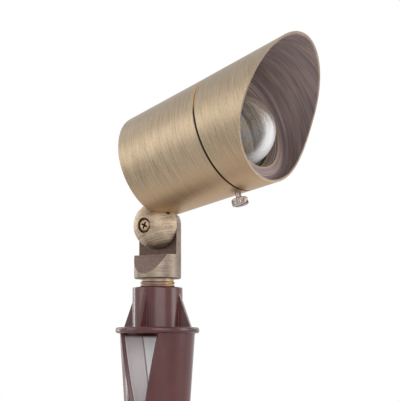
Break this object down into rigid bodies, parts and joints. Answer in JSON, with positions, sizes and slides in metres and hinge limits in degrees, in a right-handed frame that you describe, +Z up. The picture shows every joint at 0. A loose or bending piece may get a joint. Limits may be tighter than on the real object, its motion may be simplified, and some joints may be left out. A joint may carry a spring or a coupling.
{
  "type": "garden spike spotlight",
  "caption": "Hooded garden spotlight with a domed lens, on a tilting two-part knuckle screwed into a flanged, windowed ground spike.",
  "frame": {"origin": "on the stake's axis at the ground line, which is the underside of the stake's flange", "axes": "+Z up along the stake's axis, +X the way the lamp head aims, +Y away from the pivot screw's head"},
  "size_m": [0.1292, 0.0768, 0.3733],
  "materials": {
    "brass_body": "antique brushed bronze",
    "brass_knuckle": "satin aged",
    "brass_bright": "turned, bright",
    "stake_plastic": "glossy moulded",
    "steel": "plain",
    "rubber": "matte",
    "lens_glass": "clear polished",
    "lamp_glass": "coated reflector glass",
    "ceramic": "matte"
  },
  "bodies": {
    "stake": {"ground_stake": "stake_plastic"},
    "knuckle_base": {"knuckle_post": "brass_knuckle", "pivot_nut": "brass_bright", "pivot_washer": "steel", "knuckle_seal": "rubber"},
    "pivot_fastener": {"pivot_screw": "brass_bright"},
    "head": {"knuckle_arm": "brass_knuckle", "housing": "brass_body", "lead_grommet": "rubber", "lamp_bracket": "steel", "bracket_screws": "steel", "lamp_socket": "ceramic", "socket_rivets": "brass_bright", "socket_contacts": "brass_bright"},
    "thumb_fastener": {"thumb_screw": "brass_bright"},
    "lamp": {"lamp_reflector": "lamp_glass", "lamp_cover_glass": "lens_glass", "lamp_base": "ceramic", "lamp_pins": "steel", "lamp_capsule": "lens_glass"},
    "seal_ring": {"shroud_seal": "rubber"},
    "hood": {"shroud": "brass_body", "lens": "lens_glass", "lens_gasket": "rubber", "lens_ring": "brass_bright"}
  },
  "joints": [
    {"name": "pan", "type": "hinge", "parent": "stake", "child": "knuckle_base", "pos_m": [0, 0, 0.0278], "axis": [0, 0, 1], "range_deg": [-180, 180]},
    {"name": "tilt", "type": "hinge", "parent": "knuckle_base", "child": "head", "pos_m": [0, 0, 0.0648], "axis": [0, -1, 0], "range_deg": [0, 74]},
    {"name": "pivot_screw_turn", "type": "hinge", "parent": "knuckle_base", "child": "pivot_fastener", "pos_m": [0, 0, 0.0648], "axis": [0, -1, 0], "range_deg": [0, 720]},
    {"name": "thumb_screw_turn", "type": "hinge", "parent": "head", "child": "thumb_fastener", "pos_m": [0.04967, 0, 0.11656], "axis": [0.2672, 0, -0.9636], "range_deg": [0, 1080]},
    {"name": "lamp_unplug", "type": "slide", "parent": "head", "child": "lamp", "axis": [0.9636, 0, 0.2672], "range_m": [0, 0.005]},
    {"name": "hood_pull_off", "type": "slide", "parent": "head", "child": "seal_ring", "axis": [0.9636, 0, 0.2672], "range_m": [0, 0.016]},
    {"name": "hood_turn", "type": "hinge", "parent": "seal_ring", "child": "hood", "pos_m": [0.05469, 0, 0.11795], "axis": [0.9636, 0, 0.2672], "continuous": true}
  ]
}
